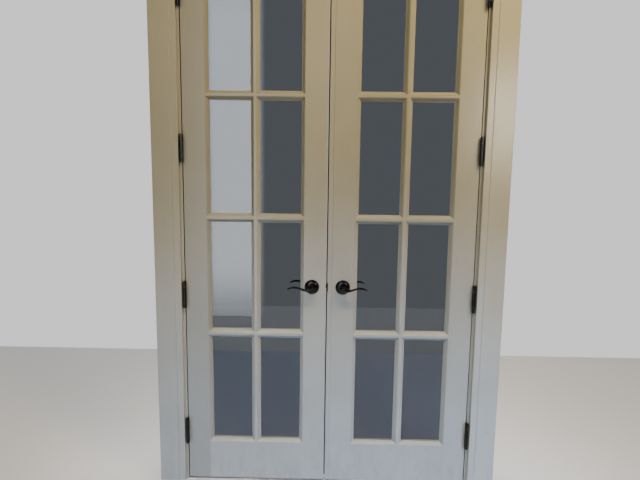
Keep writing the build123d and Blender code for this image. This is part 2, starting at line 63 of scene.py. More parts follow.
MM = 0.001
MIDDLE_Y = 37.75  # the model's middle, in millimetres behind the leaves' front face
SHARP_EDGE = math.radians(38)
TURNED_SIDES = 48
BLADE_SIDES = 28
SAME_SPOT = 1e-6

BMesh = bmesh.types.BMesh
Material = bpy.types.Material
Socket = bpy.types.NodeSocket
Colour = tuple[float, float, float]
Value = Union[Socket, float, tuple]


def place(x: float, y: float, z: float) -> Vector:
    """Turn a point of the doors, in millimetres from the leaf's front face, into the model's frame.

    Args:
        x: Distance to the right of the frame's centre.
        y: Depth behind the leaf's front face.
        z: Height over the floor.

    Returns:
        The same point in metres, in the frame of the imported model.
    """
    return Vector((x, y - MIDDLE_Y, z)) * MM


class Way(Enum):
    """The way that a board's grain and brush marks run, as a scale on each axis."""

    UPRIGHT = (1.0, 1.0, 0.02)
    LEVEL = (0.02, 1.0, 1.0)


class Side(Enum):
    """Which way a face looks, as an axis and a sign."""

    TO_LEFT = (0, -1.0)
    TO_RIGHT = (0, 1.0)
    TO_FRONT = (1, -1.0)
    TO_BACK = (1, 1.0)
    UP = (2, 1.0)
    DOWN = (2, -1.0)


class NodeSheet:
    """A node tree, with a short call for each kind of node that finishes and lights share."""

    def __init__(self, tree: bpy.types.NodeTree) -> None:
        """Take up a node tree.

        Args:
            tree: The tree.
        """
        self.tree = tree

    def join(self, source: Value, target: Socket) -> None:
        """Link a socket to another, or set a plain value on it.

        Args:
            source: A socket, a number or a colour.
            target: The socket that takes it.
        """
        if isinstance(source, Socket):
            self.tree.links.new(source, target)
        elif isinstance(source, tuple) and len(source) == 3 and target.type == "RGBA":
            target.default_value = (*source, 1.0)
        else:
            target.default_value = source

    def fill(self, node: bpy.types.Node, **values: Value) -> None:
        """Set a node's inputs by name, with underscores for spaces.

        Args:
            node: The node.
            **values: A socket, number or colour for each named input.
        """
        for name, value in values.items():
            self.join(value, node.inputs[name.replace("_", " ")])

    def add(self, kind: str, **values: Value) -> bpy.types.Node:
        """Add a node and set some of its inputs.

        Args:
            kind: The kind of node.
            **values: A socket, number or colour for each named input.

        Returns:
            The node.
        """
        node = self.tree.nodes.new(kind)
        self.fill(node, **values)
        return node

    def math(self, operation: str, first: Value, second: Value, clamp: bool = False) -> Socket:
        """One sum of two values.

        Args:
            operation: The sum's name.
            first: The first value.
            second: The second value.
            clamp: Whether the result is kept from 0 to 1.

        Returns:
            The result.
        """
        node = self.add("ShaderNodeMath")
        node.operation = operation
        node.use_clamp = clamp
        self.join(first, node.inputs[0])
        self.join(second, node.inputs[1])
        return node.outputs["Value"]

    def spread(
        self, value: Socket, low: float, high: float, to: tuple = (0.0, 1.0), eased: bool = False
    ) -> Socket:
        """Stretch a value from one range to another, held at its ends.

        Args:
            value: The value.
            low: The value at which the result starts.
            high: The value at which the result ends.
            to: The result's start and end.
            eased: Whether the result leaves its start and reaches its end gently.

        Returns:
            The stretched value.
        """
        node = self.add("ShaderNodeMapRange", Value=value, From_Min=low, From_Max=high)
        self.fill(node, To_Min=to[0], To_Max=to[1])
        if eased:
            node.interpolation_type = "SMOOTHSTEP"
        return node.outputs["Result"]

    def blend(self, share: Value, first: Value, second: Value) -> Socket:
        """Mix two colours.

        Args:
            share: How much of the second colour there is.
            first: The first colour.
            second: The second colour.

        Returns:
            The mixed colour.
        """
        node = self.add("ShaderNodeMix")
        node.data_type = "RGBA"
        sockets = {socket.identifier: socket for socket in (*node.inputs, *node.outputs)}
        self.join(share, sockets["Factor_Float"])
        self.join(first, sockets["A_Color"])
        self.join(second, sockets["B_Color"])
        return sockets["Result_Color"]


class FinishSheet(NodeSheet):
    """A material's node tree round one main shader, with the patterns of the finishes."""

    def __init__(self, name: str) -> None:
        """Start a material with one main shader.

        Args:
            name: The material's name.
        """
        self.material = bpy.data.materials.new(name)
        self.material.use_nodes = True
        super().__init__(self.material.node_tree)
        self.tree.nodes.clear()
        output = self.add("ShaderNodeOutputMaterial")
        self.shader = self.add("ShaderNodeBsdfPrincipled")
        self.join(self.shader.outputs["BSDF"], output.inputs["Surface"])
        self.point = self.add("ShaderNodeTexCoord").outputs["Object"]

    def stretched(self, scale: tuple = (1.0, 1.0, 1.0), shift: tuple = (0.0, 0.0, 0.0)) -> Socket:
        """Scale and shift the object's own coordinates.

        Args:
            scale: Factor on each axis.
            shift: Shift on each axis.

        Returns:
            The mapped vector.
        """
        node = self.add("ShaderNodeMapping", Vector=self.point, Location=shift, Scale=scale)
        return node.outputs["Vector"]

    def noise(
        self, vector: Socket, scale: float, detail: float, rough: float, warp: float = 0.0
    ) -> Socket:
        """Cloudy noise from 0 to 1.

        Args:
            vector: Where the noise is read.
            scale: How many clouds to a metre.
            detail: How many finer layers it has.
            rough: How strong the finer layers are.
            warp: How far it is pulled out of shape.

        Returns:
            The noise value.
        """
        node = self.add("ShaderNodeTexNoise", Vector=vector, Scale=scale, Detail=detail)
        self.fill(node, Roughness=rough, Distortion=warp)
        return node.outputs["Fac"]

    def cells(self, vector: Socket, scale: float) -> Socket:
        """Distance to the nearest of many scattered points.

        Args:
            vector: Where the pattern is read.
            scale: How many points to a metre.

        Returns:
            The distance, 0 at a point.
        """
        node = self.add("ShaderNodeTexVoronoi", Vector=vector, Scale=scale)
        return node.outputs["Distance"]

    def height(self) -> Socket:
        """The object's own height coordinate.

        Returns:
            The coordinate, in metres.
        """
        return self.add("ShaderNodeSeparateXYZ", Vector=self.point).outputs["Z"]

    def openness(self, reach: float, samples: int) -> Socket:
        """How free the space in front of a surface is, from 0 in a narrow gap to 1 in the open.

        Args:
            reach: How far it looks, in metres.
            samples: How many times it looks.

        Returns:
            The openness.
        """
        node = self.add("ShaderNodeAmbientOcclusion", Distance=reach)
        node.samples = samples
        return node.outputs["AO"]

    def facing(self, side: Side) -> Socket:
        """How squarely a face looks one way, from 0 to 1.

        Args:
            side: The way to compare with.

        Returns:
            1 where the face looks that way and 0 at a right angle or more.
        """
        normal = self.add("ShaderNodeNewGeometry").outputs["True Normal"]
        parts = self.add("ShaderNodeSeparateXYZ", Vector=normal).outputs
        index, sign = side.value
        return self.math("MULTIPLY", parts[index], sign, clamp=True)

    def bump(
        self, height: Socket, depth: float, strength: float, over: Optional[Socket] = None
    ) -> Socket:
        """Turn a height into a bent normal.

        Args:
            height: The height, from 0 to 1.
            depth: What a height of 1 stands for, in metres.
            strength: How much of it shows.
            over: A normal that it is laid over.

        Returns:
            The normal.
        """
        node = self.add("ShaderNodeBump", Height=height, Distance=depth, Strength=strength)
        if over is not None:
            self.join(over, node.inputs["Normal"])
        return node.outputs["Normal"]


BRUSH_MARKS = 260.0  # to a metre across a board
GRAIN_LINES = 60.0  # to a metre across a board
GRIME = (0.20, 0.17, 0.13)
GRIME_HEIGHT = (0.02, 0.30)
SPECK = (0.22, 0.18, 0.14)
SPECK_SIZE = (0.018, 0.035)
# Painted shade: the near-black colour given to faces in the narrow gaps round a shut leaf.
GAP_PAINTED_SHADE = (0.012, 0.010, 0.008)
GAP_REACH = 0.02
PALE_PINE = (0.48, 0.42, 0.335)
DARK_PINE = (0.38, 0.31, 0.225)


@dataclass(frozen=True)
class BrushedPaint:
    """Semi-gloss warm grey paint laid on wood with a brush.

    Attributes:
        name: The material's name.
        way: The way the brush went.
        light: The paint's colour on most of the board.
        dark: The colour of its darker clouds.
        streak: How deep the brush marks are, in metres.
        cross: How deep the marks across the board are, in metres.
        marks: How many of those marks there are to a metre of their length and of their width.
        gloss: The paint's roughness.
        bare: The side of the board that was never painted, if it has one.
        shaded: The side that gets painted shade, near black, where it lies in the narrow gap round
            a shut leaf, if it has one.
        seed: Shift of the patterns, so that boards differ.
        share: How light the board is beside the others: painted light and shade for how light falls
            on it.
    """

    name: str
    way: Way
    light: Colour = (0.361, 0.343, 0.257)
    dark: Colour = (0.332, 0.314, 0.231)
    streak: float = 0.00022
    cross: float = 0.0
    marks: tuple = (35.0, 130.0)
    gloss: float = 0.31
    bare: Optional[Side] = None
    shaded: Optional[Side] = None
    seed: float = 0.0
    share: float = 1.0

    def material(self) -> Material:
        """Build the paint.

        Returns:
            The material.
        """
        sheet = FinishSheet(self.name)
        along = tuple(BRUSH_MARKS * share for share in self.way.value)
        shift = (self.seed, self.seed * 0.7, self.seed * 1.3)
        marks = sheet.noise(sheet.stretched(along, shift), 1.0, detail=4.0, rough=0.55)
        clouds = sheet.noise(sheet.stretched(shift=shift), 2.2, detail=4.0, rough=0.55, warp=0.3)
        peel = sheet.noise(sheet.stretched(), 420.0, detail=2.0, rough=0.5)
        waves = sheet.noise(sheet.stretched(shift=shift), 16.0, detail=2.0, rough=0.5)
        # The share makes the whole board lighter or darker: painted light and shade.
        light, dark, deep = (
            tuple(part * self.share * factor for part in tone)
            for tone, factor in ((self.light, 1.0), (self.dark, 1.0), (self.light, 0.90))
        )
        colour = sheet.blend(sheet.spread(clouds, 0.35, 0.65), light, dark)
        colour = sheet.blend(sheet.spread(marks, 0.62, 0.80, to=(0.0, 0.35)), colour, deep)
        colour = self._scuffed(sheet, colour)
        rough = sheet.spread(marks, 0.3, 0.7, to=(self.gloss - 0.05, self.gloss + 0.07))
        normal = sheet.bump(waves, depth=0.0012, strength=0.35)
        normal = sheet.bump(peel, depth=0.00008, strength=0.6, over=normal)
        normal = sheet.bump(marks, self.streak, strength=0.8, over=normal)
        if self.cross:
            length, width = self.marks
            over = tuple(length if share == 1.0 else width for share in self.way.value)
            strokes = sheet.noise(sheet.stretched(over, shift), 1.0, detail=3.0, rough=0.6)
            normal = sheet.bump(strokes, self.cross, strength=0.8, over=normal)
        if self.bare is not None:
            colour, rough = self._bare_wood(sheet, colour, rough)
        # Painted shade: faces in a narrow gap round a shut leaf turn near black, darker the closer
        # the gap.
        if self.shaded is not None:
            mask = sheet.spread(sheet.facing(self.shaded), 0.25, 0.6)
            close = sheet.spread(sheet.openness(GAP_REACH, samples=6), 0.30, 0.75, to=(1.0, 0.0))
            colour = sheet.blend(sheet.math("MULTIPLY", mask, close), colour, GAP_PAINTED_SHADE)
        sheet.fill(sheet.shader, Base_Color=colour, Roughness=rough, Normal=normal)
        sheet.fill(sheet.shader, IOR=1.5, Specular_IOR_Level=0.32)
        return sheet.material

    def _scuffed(self, sheet: FinishSheet, colour: Socket) -> Socket:
        """Add grime near the floor and a few rubbed spots.

        Args:
            sheet: The material's nodes.
            colour: The clean colour.

        Returns:
            The colour with its wear.
        """
        low = sheet.spread(sheet.height(), *GRIME_HEIGHT, to=(1.0, 0.0))
        dust = sheet.noise(sheet.stretched((1.0, 1.0, 0.35)), 30.0, detail=4.0, rough=0.65)
        grime = sheet.math("MULTIPLY", low, sheet.spread(dust, 0.45, 0.75), clamp=True)
        colour = sheet.blend(sheet.math("MULTIPLY", grime, 0.35), colour, GRIME)
        spots = sheet.cells(sheet.stretched((1.0, 1.0, 0.6), (self.seed, 0.3, 0.1)), 7.0)
        return sheet.blend(sheet.spread(spots, *SPECK_SIZE, to=(0.30, 0.0)), colour, SPECK)

    def _bare_wood(self, sheet: FinishSheet, colour: Socket, rough: Socket) -> tuple[Socket, ...]:
        """Leave the side that lies against the wall in raw pine.

        Args:
            sheet: The material's nodes.
            colour: The painted colour.
            rough: The painted roughness.

        Returns:
            The colour and the roughness with the raw side.
        """
        along = tuple(GRAIN_LINES * share for share in self.way.value)
        point = sheet.stretched(along, (self.seed, 0.0, 0.0))
        grain = sheet.noise(point, 1.0, detail=6.0, rough=0.6, warp=1.2)
        pine = sheet.blend(sheet.spread(grain, 0.35, 0.68), PALE_PINE, DARK_PINE)
        mask = sheet.spread(sheet.facing(self.bare), 0.7, 0.9)
        raw = sheet.math("MULTIPLY", mask, 0.75)
        return sheet.blend(mask, colour, pine), sheet.math("MAXIMUM", rough, raw)


@dataclass(frozen=True)
class ClearGlass:
    """Float glass with faint waves and a little dust.

    Attributes:
        name: The material's name.
        tint_and_shade: The colour that one face lets through: a faint grey-blue tint, made darker
            than clear glass as painted shade on what shows through it.
    """

    name: str = "clear_float_glass"
    tint_and_shade: Colour = (0.71, 0.75, 0.78)

    def material(self) -> Material:
        """Build the glass.

        Returns:
            The material.
        """
        sheet = FinishSheet(self.name)
        waves = sheet.noise(sheet.stretched((1.0, 1.0, 0.5)), 5.0, detail=2.0, rough=0.4)
        haze = sheet.noise(sheet.stretched(), 9.0, detail=4.0, rough=0.6)
        # Painted shade: the glass's tint is darker than clear glass, so what shows through reads
        # darker.
        sheet.fill(
            sheet.shader,
            Base_Color=self.tint_and_shade,
            Roughness=sheet.spread(haze, 0.55, 0.8, to=(0.0, 0.02)),
            Normal=sheet.bump(waves, depth=0.0006, strength=0.25),
            Transmission_Weight=1.0,
            IOR=1.5,
        )
        return sheet.material


@dataclass(frozen=True)
class DarkMetal:
    """A blackened bronze or black plated finish, rubbed a little lighter in places.

    Attributes:
        name: The material's name.
        base: The dark colour.
        rubbed: The colour that shows where it is rubbed.
        share: How much of it is rubbed.
        gloss: Its roughness.
        metallic: How far it shines as bare metal.
    """

    name: str
    base: Colour
    rubbed: Colour
    share: float
    gloss: float
    metallic: float = 1.0

    def material(self) -> Material:
        """Build the metal.

        Returns:
            The material.
        """
        sheet = FinishSheet(self.name)
        patches = sheet.noise(sheet.stretched(), 45.0, detail=5.0, rough=0.65, warp=0.6)
        fine = sheet.noise(sheet.stretched(), 900.0, detail=3.0, rough=0.6)
        worn = sheet.spread(patches, 0.52, 0.75, to=(0.0, self.share))
        dents = sheet.bump(patches, depth=0.0002, strength=0.25)
        sheet.fill(
            sheet.shader,
            Base_Color=sheet.blend(worn, self.base, self.rubbed),
            Metallic=self.metallic,
            Specular_IOR_Level=0.8,
            Roughness=sheet.spread(fine, 0.3, 0.7, to=(self.gloss - 0.06, self.gloss + 0.08)),
            Normal=sheet.bump(fine, depth=0.00001, strength=0.5, over=dents),
        )
        return sheet.material


@dataclass(frozen=True)
class BrightMetal:
    """Steel or brass drawn along one axis.

    Attributes:
        name: The material's name.
        tone: The metal's colour.
        lines: Scale of its drawn lines on each axis.
        gloss: Its roughness.
    """

    name: str
    tone: Colour
    lines: tuple = (20.0, 900.0, 900.0)
    gloss: float = 0.30

    def material(self) -> Material:
        """Build the metal.

        Returns:
            The material.
        """
        sheet = FinishSheet(self.name)
        drawn = sheet.noise(sheet.stretched(self.lines), 1.0, detail=3.0, rough=0.6)
        stain = sheet.noise(sheet.stretched(), 40.0, detail=4.0, rough=0.6)
        stained = sheet.spread(stain, 0.5, 0.8, to=(0.0, 0.6))
        darker = tuple(part * 0.55 for part in self.tone)
        sheet.fill(
            sheet.shader,
            Base_Color=sheet.blend(stained, self.tone, darker),
            Metallic=1.0,
            Roughness=sheet.spread(drawn, 0.3, 0.7, to=(self.gloss - 0.08, self.gloss + 0.1)),
            Normal=sheet.bump(drawn, depth=0.00004, strength=0.6),
        )
        return sheet.material


@dataclass(frozen=True)
class SealRubber:
    """Matt black rubber of the bulb seal.

    Attributes:
        name: The material's name.
        clean: The rubber's colour.
        dull: Its colour under dust.
    """

    name: str = "seal_rubber"
    clean: Colour = (0.006, 0.006, 0.006)
    dull: Colour = (0.02, 0.018, 0.016)

    def material(self) -> Material:
        """Build the rubber.

        Returns:
            The material.
        """
        sheet = FinishSheet(self.name)
        dust = sheet.noise(sheet.stretched((1.0, 1.0, 0.2)), 120.0, detail=4.0, rough=0.6)
        dust_and_gap_shade = sheet.spread(dust, 0.5, 0.8, to=(0.0, 0.5))
        sheet.fill(
            sheet.shader,
            Base_Color=sheet.blend(dust_and_gap_shade, self.clean, self.dull),
            Roughness=sheet.spread(dust, 0.3, 0.7, to=(0.6, 0.8)),
            Normal=sheet.bump(dust, depth=0.0001, strength=0.5),
        )
        return sheet.material


@dataclass(frozen=True)
class StageFinish:
    """A plain finish for the floor.

    Attributes:
        name: The material's name.
        tone: Its colour.
        dusk: Its darker colour where it shows through the glass: painted shade for the floor behind
            the doors.
        rough: Its roughness.
    """

    name: str
    tone: Colour
    dusk: Colour
    rough: float = 0.8

    def material(self) -> Material:
        """Build the plain finish.

        Returns:
            The material.
        """
        sheet = FinishSheet(self.name)
        # Painted shade: the floor is darker where it is seen through the glass.
        through = sheet.add("ShaderNodeLightPath").outputs["Is Transmission Ray"]
        colour = sheet.blend(through, self.tone, self.dusk)
        sheet.fill(sheet.shader, Base_Color=colour, Roughness=self.rough)
        return sheet.material


def dress(obj: bpy.types.Object, material: Material) -> None:
    """Give an object one material in every slot.

    Args:
        obj: The object.
        material: The material.
    """
    if not obj.data.materials:
        obj.data.materials.append(material)
    for index in range(len(obj.data.materials)):
        obj.data.materials[index] = material


def link(name: str, data: bpy.types.ID) -> bpy.types.Object:
    """Put a mesh, a light or a camera into the scene.

    Args:
        name: The object's name.
        data: The mesh, light or camera.

    Returns:
        The new object.
    """
    obj = bpy.data.objects.new(name, data)
    bpy.context.scene.collection.objects.link(obj)
    return obj


def make_piece(
    name: str, mesh: BMesh, material: Material, body: str
) -> bpy.types.Object:
    """Turn a bmesh into a smooth shaded piece that rides on a body.

    Args:
        name: The piece's name.
        mesh: Its shape, in metres in the model's frame. It is freed here.
        material: Its finish.
        body: The body that it moves with.

    Returns:
        The new object.
    """
    bmesh.ops.recalc_face_normals(mesh, faces=mesh.faces)
    for face in mesh.faces:
        face.smooth = True
    data = bpy.data.meshes.new(name)
    mesh.to_mesh(data)
    mesh.free()
    data.set_sharp_from_angle(angle=SHARP_EDGE)
    obj = link(name, data)
    dress(obj, material)
    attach(obj, body)
    log.info("made %s: %d faces", name, len(data.polygons))
    return obj


def turned(mesh: BMesh, profile: Iterable[tuple[float, float]], placing: Matrix) -> None:
    """Spin a profile round the Y axis, with its height going to the front, and put it in place.

    Args:
        mesh: The mesh that takes the shape.
        profile: Radius and height of each point, in millimetres.
        placing: Where the turned shape goes.
    """
    others = set(mesh.verts)
    points = [mesh.verts.new((radius * MM, -height * MM, 0.0)) for radius, height in profile]
    edges = [mesh.edges.new(pair) for pair in zip(points, points[1:])]
    bmesh.ops.spin(
        mesh, geom=points + edges, cent=(0, 0, 0), axis=(0, 1, 0),
        angle=2 * math.pi, steps=TURNED_SIDES, use_merge=True,
    )
    fresh = [vert for vert in mesh.verts if vert not in others]
    bmesh.ops.remove_doubles(mesh, verts=fresh, dist=SAME_SPOT)
    fresh = [vert for vert in fresh if vert.is_valid]
    bmesh.ops.transform(mesh, matrix=placing, verts=fresh)


@dataclass
class LeverSet:
    """A pair of waved lever handles on round roses, one pair to a leaf.

    Attributes:
        leaf: Name of the leaf.
        lever_body: Body that the levers move with.
        centre: Place of the spindle, across and up, in millimetres.
        outward: 1 where the blade points to the right and -1 to the left.
        leaf_thickness: Thickness of the leaf between the roses.
        standoff: Distance of the blade's middle from the leaf.
        hub_radius: Radius of the hub's collar.
        rose_radius: Radius of the rose.
        stations: Distance out, rise, half height and half depth of the blade.
    """

    leaf: str
    lever_body: str
    centre: tuple[float, float]
    outward: float
    leaf_thickness: float = 44.5
    standoff: float = 47.5
    hub_radius: float = 13.4
    rose_radius: float = 31.5
    stations: tuple = (
        (0.0, -0.4, 9.5, 7.6), (4.0, -2.0, 9.0, 7.5), (10.0, -3.9, 8.2, 7.3),
        (17.0, -5.0, 7.2, 7.0), (24.0, -5.0, 6.1, 6.7), (32.0, -4.0, 5.2, 6.4),
        (41.0, -1.2, 4.6, 6.2), (50.0, 2.0, 4.4, 6.2), (60.0, 4.8, 4.5, 6.3),
        (70.0, 6.2, 4.6, 6.4), (79.0, 6.0, 4.5, 6.3), (86.0, 4.6, 4.2, 6.0),
        (93.0, 2.2, 3.6, 5.4), (99.0, -0.6, 2.6, 4.4), (102.2, -2.4, 1.4, 2.6),
        (103.0, -2.9, 0.6, 1.2),
    )

    def placing(self, back: bool) -> Matrix:
        """Where one handle goes.

        Args:
            back: Whether it is the handle on the back face.

        Returns:
            The matrix from the handle's own frame to the model's frame.
        """
        depth = self.leaf_thickness if back else 0.0
        spot = Matrix.Translation(place(self.centre[0], depth, self.centre[1]))
        flip = Matrix.Diagonal((self.outward, -1.0 if back else 1.0, 1.0, 1.0))
        return spot @ flip

    def hub(self, mesh: BMesh, matrix: Matrix) -> None:
        """Turn the hub: a collar in the rose, a waist and a domed end.

        Args:
            mesh: The mesh that takes the hub.
            matrix: Where the hub goes.
        """
        radius = self.hub_radius
        profile = [
            (0.0, 1.2), (radius - 0.3, 1.2), (radius, 1.6), (radius, 12.6), (radius - 0.5, 13.4),
            (12.2, 17.0), (11.4, 22.0), (11.1, 27.0), (11.4, 32.0), (12.3, 37.5), (13.2, 41.5),
            (13.4, 43.6), (13.3, 45.4), (12.9, 47.6), (12.1, 49.8), (10.9, 52.0), (9.2, 54.0),
            (7.0, 55.7), (4.6, 56.9), (2.3, 57.6), (0.0, 57.8),
        ]
        turned(mesh, profile, matrix)

    def blade(self, mesh: BMesh, matrix: Matrix) -> None:
        """Bridge a row of ellipses into the waved blade.

        Args:
            mesh: The mesh that takes the blade.
            matrix: Where the blade goes.
        """
        loops = []
        last = len(self.stations) - 1
        for index, (out, rise, half_height, half_depth) in enumerate(self.stations):
            before = self.stations[max(index - 1, 0)]
            after = self.stations[min(index + 1, last)]
            slope = math.atan2(after[1] - before[1], after[0] - before[0])
            spot = Matrix.Translation(Vector((out, -self.standoff, rise)) * MM)
            lean = Matrix.Rotation(-slope, 4, "Y") @ Matrix.Rotation(math.pi / 2, 4, "Y")
            size = Matrix.Diagonal((half_height * MM, half_depth * MM, 1.0, 1.0))
            ellipse = matrix @ spot @ lean @ size
            made = bmesh.ops.create_circle(
                mesh, cap_ends=False, radius=1.0, segments=BLADE_SIDES, matrix=ellipse
            )
            loops.append(list({edge for vert in made["verts"] for edge in vert.link_edges}))
        for first, second in zip(loops, loops[1:]):
            bmesh.ops.bridge_loops(mesh, edges=first + second)
        for loop in (loops[0], loops[-1]):
            bmesh.ops.contextual_create(mesh, geom=loop)

    def rose(self, mesh: BMesh, matrix: Matrix) -> None:
        """Turn the rose: a flat rim, a small step, a dome and a lip round the hub.

        Args:
            mesh: The mesh that takes the rose.
            matrix: Where the rose goes.
        """
        bore = 13.6
        rim = (
            (0.2, 0.0), (0.0, 0.3), (0.0, 1.7), (0.3, 2.5), (1.0, 2.9), (2.0, 3.0), (2.8, 2.7),
            (3.3, 3.1), (4.6, 4.5), (6.6, 6.0), (9.2, 7.3), (12.0, 8.4), (14.2, 9.1),
            (15.2, 9.2), (15.6, 9.8), (16.2, 10.0), (17.2, 10.0),
        )
        profile = [(bore, 0.0), *((self.rose_radius - inward, height) for inward, height in rim)]
        profile += [(13.9, 9.9), (bore, 9.6), (bore, 0.0)]
        turned(mesh, profile, matrix)

    def build(self, metal: Material) -> None:
        """Make both handles and both roses of the leaf.

        Args:
            metal: The finish of all four.
        """
        for face, back in (("front", False), ("back", True)):
            matrix = self.placing(back)
            handle = bmesh.new()
            self.hub(handle, matrix)
            self.blade(handle, matrix)
            name = f"{self.leaf}_{face}_lever"
            piece = make_piece(f"{name}_forged", handle, metal, self.lever_body)
            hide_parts(name)
            plate = bmesh.new()
            self.rose(plate, matrix)
            name = f"{self.leaf}_{face}_rose"
            piece = make_piece(f"{name}_turned", plate, metal, f"{self.leaf}_leaf")
            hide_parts(name)


@dataclass
class ScrewRow:
    """Countersunk screws with crossed slots, all in one plate or row of plates.

    Attributes:
        name: The piece's name.
        body: The body that holds them.
        side: The way their heads look.
        spots: Centre of each head on the plate's face, in millimetres.
        slot: The record's slot for their finish.
        radius: Radius of a head.
        proud: How far the head stands over the plate.
        twist: Turn from each head's cross to the next, in radians.
    """

    name: str
    body: str
    side: Side
    spots: list[tuple[float, float, float]]
    # slot: Name of the slot for their finish; not used.
    slot: str
    radius: float = 4.6
    proud: float = 0.25
    twist: float = 0.7

    def _turn(self) -> Matrix:
        """Turn a head that looks up to the row's side.

        Returns:
            The turn.
        """
        angle, axis = {
            Side.DOWN: (math.pi, "X"),
            Side.TO_RIGHT: (math.pi / 2, "Y"),
            Side.TO_LEFT: (-math.pi / 2, "Y"),
        }[self.side]
        return Matrix.Rotation(angle, 4, axis)

    def _head(self, mesh: BMesh, matrix: Matrix) -> None:
        """Make one head from a grid rounded into a disc, with a cross pressed into it.

        The head is made with a radius of 1 and brought to its size at the end.

        Args:
            mesh: The mesh that takes the head.
            matrix: Where the head goes.
        """
        count, core = 7, 0.5  # squares to a side, and the reach that stays square
        half_arm, arm_length, cross_depth, cross_taper = 0.08, 0.55, 0.35, 0.8
        skirt_depth = self.proud * 1.6 / self.radius
        grid = bmesh.ops.create_grid(mesh, x_segments=count, y_segments=count, size=1.0)
        made = grid["verts"]
        for vert in made:
            flat = Vector((vert.co.x, vert.co.y, 0.0))
            reach = max(abs(flat.x), abs(flat.y))
            if reach > core:
                share = (reach - core) / (1.0 - core)
                vert.co = flat.lerp(flat.normalized() * reach, share)
        cross = []
        for face in {face for vert in made for face in vert.link_faces}:
            centre = face.calc_center_median()
            if min(abs(centre.x), abs(centre.y)) < half_arm and centre.length < arm_length:
                cross.append(face)
        pressed = bmesh.ops.extrude_face_region(mesh, geom=cross)["geom"]
        sunk = [item for item in pressed if isinstance(item, bmesh.types.BMVert)]
        bmesh.ops.delete(mesh, geom=cross, context="FACES_ONLY")
        bmesh.ops.translate(mesh, verts=sunk, vec=(0, 0, -cross_depth))
        bmesh.ops.scale(mesh, verts=sunk, vec=(cross_taper, cross_taper, 1.0))
        rim = [e for v in made if v.is_valid for e in v.link_edges if e.is_boundary]
        skirt = bmesh.ops.extrude_edge_only(mesh, edges=list(set(rim)))["geom"]
        lower = [item for item in skirt if isinstance(item, bmesh.types.BMVert)]
        bmesh.ops.translate(mesh, verts=lower, vec=(0, 0, -skirt_depth))
        whole = list({*[v for v in made if v.is_valid], *sunk, *lower})
        size = Matrix.Scale(self.radius * MM, 4)
        bmesh.ops.transform(mesh, matrix=matrix @ size, verts=whole)

    def build(self, metal: Material) -> None:
        """Make all the heads as one piece.

        Args:
            metal: Their finish.
        """
        mesh = bmesh.new()
        index, sign = self.side.value
        for number, spot in enumerate(self.spots):
            centre = place(*spot)
            centre[index] += sign * self.proud * MM
            twist = Matrix.Rotation(self.twist * number, 4, "Z")
            self._head(mesh, Matrix.Translation(centre) @ self._turn() @ twist)
        make_piece(self.name, mesh, metal, self.body)


@dataclass
class HingeScrews:
    """The screws of all eight hinges.

    Attributes:
        gap_face: Distance of the jamb's face from the centre.
        leaf_face: Distance of the leaf's edge from the centre.
        heights: Centre of each hinge over the floor.
        holes: Height from a hinge's centre and depth of each of its screws.
    """

    gap_face: float = 622.0
    leaf_face: float = 619.0
    heights: tuple = (238.0, 859.667, 1481.333, 2103.0)
    holes: tuple = ((-43.0, 11.0), (-15.0, 27.0), (15.0, 27.0), (43.0, 11.0))

    def build(self, metal: Material) -> None:
        """Make the four rows.

        Args:
            metal: Their finish.
        """
        rows = (
            ("left_frame_hinge_screws", "frame", Side.TO_RIGHT, -self.gap_face),
            ("left_leaf_hinge_screws", "left_leaf", Side.TO_LEFT, -self.leaf_face),
            ("right_frame_hinge_screws", "frame", Side.TO_LEFT, self.gap_face),
            ("right_leaf_hinge_screws", "right_leaf", Side.TO_RIGHT, self.leaf_face),
        )
        for name, body, side, across in rows:
            spots = [
                (across, depth, height + offset)
                for height in self.heights
                for offset, depth in self.holes
            ]
            ScrewRow(name, body, side, spots, "hinge_black").build(metal)


